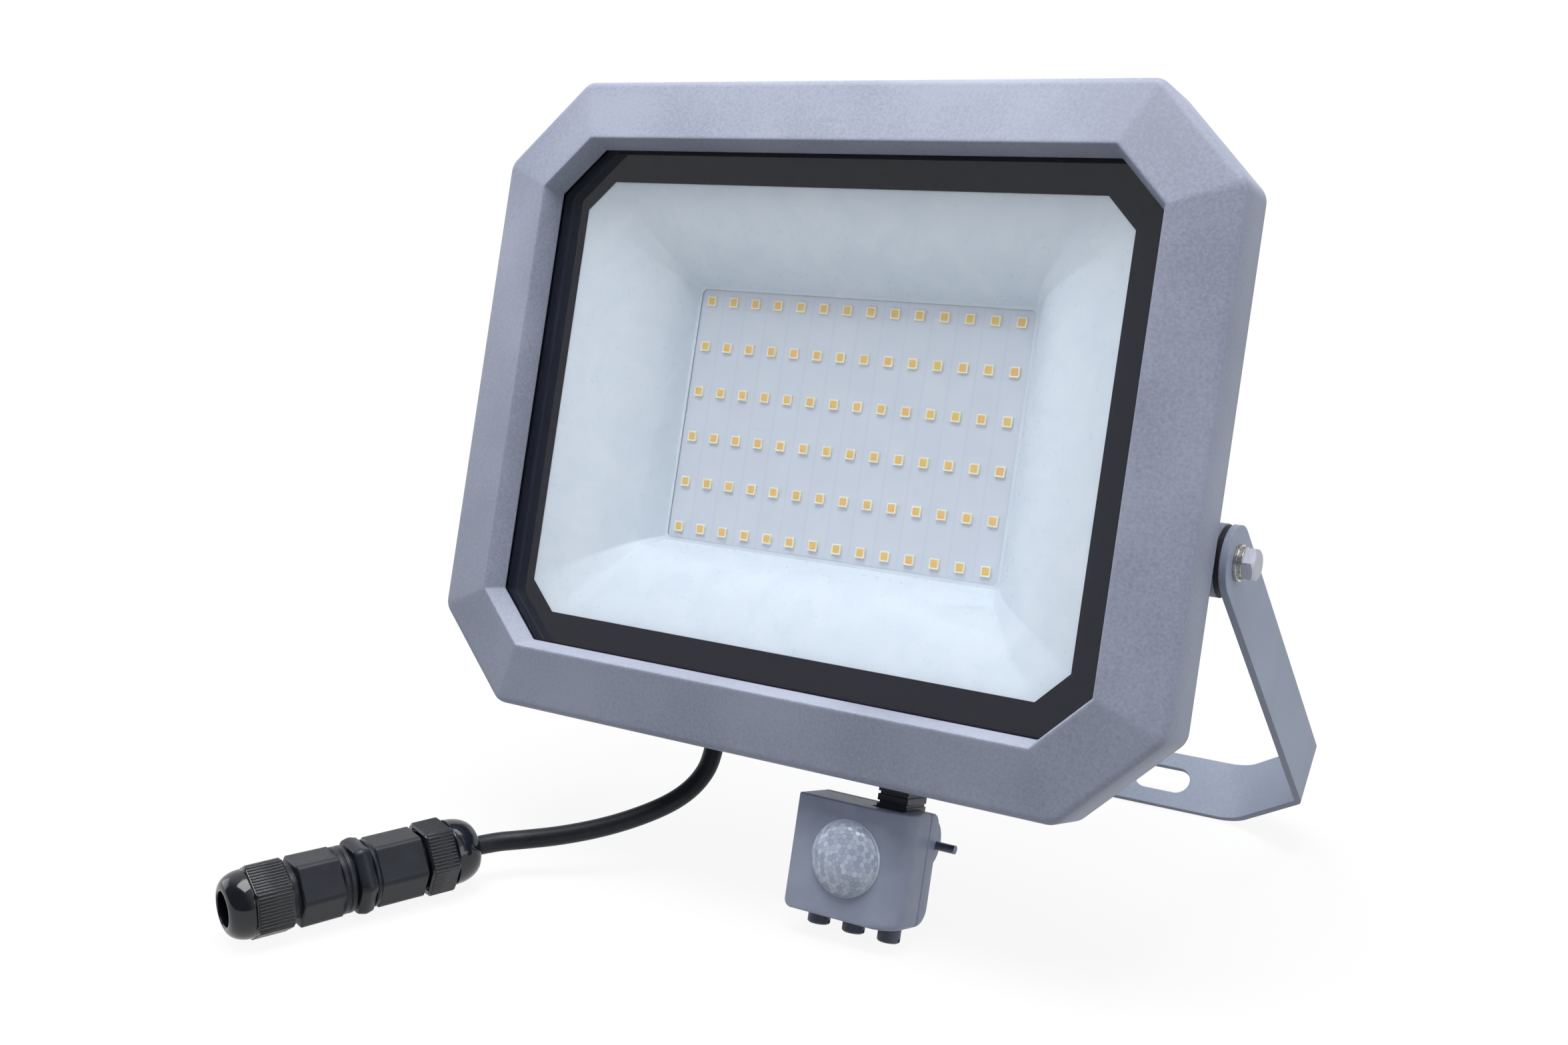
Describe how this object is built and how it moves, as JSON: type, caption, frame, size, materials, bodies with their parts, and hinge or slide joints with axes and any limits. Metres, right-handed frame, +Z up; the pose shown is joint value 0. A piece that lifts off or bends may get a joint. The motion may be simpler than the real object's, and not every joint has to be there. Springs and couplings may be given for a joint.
{
  "type": "motion sensor floodlight",
  "caption": "Slim floodlight with a glazed octagonal front and board of diodes, on a folded strap bracket, with a hinged motion sensor below and a short lead to a sealed connector.",
  "frame": {"origin": "middle of the footprint, on the surface it stands on, without the lead", "axes": "+X to the light's right seen from the front, +Y to its back, +Z up"},
  "size_m": [0.3092, 0.3072, 0.2869],
  "materials": {
    "powder_coat": "fine powder coat",
    "bracket_coat": "fine powder coat",
    "tempered_glass": "clear with a printed black border",
    "silicone": "matt",
    "reflector_white": "satin white",
    "board_white": "white solder mask",
    "diode_package": "phosphor in a cream package",
    "zinc_screw": "bright zinc",
    "bolt_steel": "satin stainless",
    "potting": "potted box",
    "terminal_nylon": "natural nylon",
    "friction_rubber": "matt",
    "black_nylon": "moulded, matt",
    "black_rubber": "matt",
    "sensor_case": "moulded, fine texture",
    "milk_lens": "milky faceted dome",
    "knob_grey": "moulded",
    "green_board": "solder mask",
    "detector_can": "drawn can",
    "hinge_steel": "dark zinc"
  },
  "bodies": {
    "bracket": {"mounting_bracket": "bracket_coat"},
    "neck": {"sensor_neck": "black_nylon", "neck_stem_nut": "black_nylon"},
    "sensor": {"sensor_front_shell": "sensor_case", "sensor_rear_cover": "sensor_case", "sensor_lens": "milk_lens", "sensor_board": "green_board", "pir_detector": "detector_can", "hinge_screw": "hinge_steel"},
    "lux_control": {"lux_knob": "knob_grey"},
    "time_control": {"time_knob": "knob_grey"},
    "range_control": {"range_knob": "knob_grey"},
    "head": {"front_frame": "powder_coat", "rear_housing": "powder_coat", "glass_pane": "tempered_glass", "glass_seal": "silicone", "housing_seal": "silicone", "reflector": "reflector_white", "led_board": "board_white", "led_chips": "diode_package", "board_screws": "zinc_screw", "frame_screws": "zinc_screw", "led_driver": "potting", "terminal_block": "terminal_nylon", "pivot_bolts": "bolt_steel", "pivot_spring_washers": "bolt_steel", "pivot_flat_washers": "bolt_steel", "friction_discs": "friction_rubber", "gland_body": "black_nylon", "gland_seal": "black_rubber", "gland_nut": "black_nylon", "gland_locknut": "black_nylon", "power_cord": "black_rubber", "connector_cord_nut": "black_nylon", "connector_free_nut": "black_nylon", "connector_cord_body": "black_nylon", "connector_free_body": "black_nylon", "connector_coupling_ring": "black_nylon", "connector_cord_seal": "black_rubber", "connector_free_seal": "black_rubber", "neck_bush": "black_nylon"}
  },
  "joints": [
    {"name": "head_tilt", "type": "hinge", "parent": "bracket", "child": "head", "pos_m": [0, -0.03626, 0.13692], "axis": [1, 0, 0], "range_deg": [-60, 60]},
    {"name": "sensor_pan", "type": "hinge", "parent": "head", "child": "neck", "pos_m": [0.0462, -0.06515, 0.06011], "axis": [0, 0.2756, 0.9613], "range_deg": [-85, 85]},
    {"name": "sensor_tilt", "type": "hinge", "parent": "neck", "child": "sensor", "pos_m": [0.0462, -0.06551, 0.03056], "axis": [1, 0, 0], "range_deg": [-12, 35]},
    {"name": "lux_turn", "type": "hinge", "parent": "sensor", "child": "lux_control", "pos_m": [0.0227, -0.0843, 0.00495], "axis": [0, 0.2756, 0.9613], "range_deg": [-135, 135]},
    {"name": "time_turn", "type": "hinge", "parent": "sensor", "child": "time_control", "pos_m": [0.0365, -0.0843, 0.00495], "axis": [0, 0.2756, 0.9613], "range_deg": [-135, 135]},
    {"name": "range_turn", "type": "hinge", "parent": "sensor", "child": "range_control", "pos_m": [0.0503, -0.0843, 0.00495], "axis": [0, 0.2756, 0.9613], "range_deg": [-135, 135]}
  ]
}
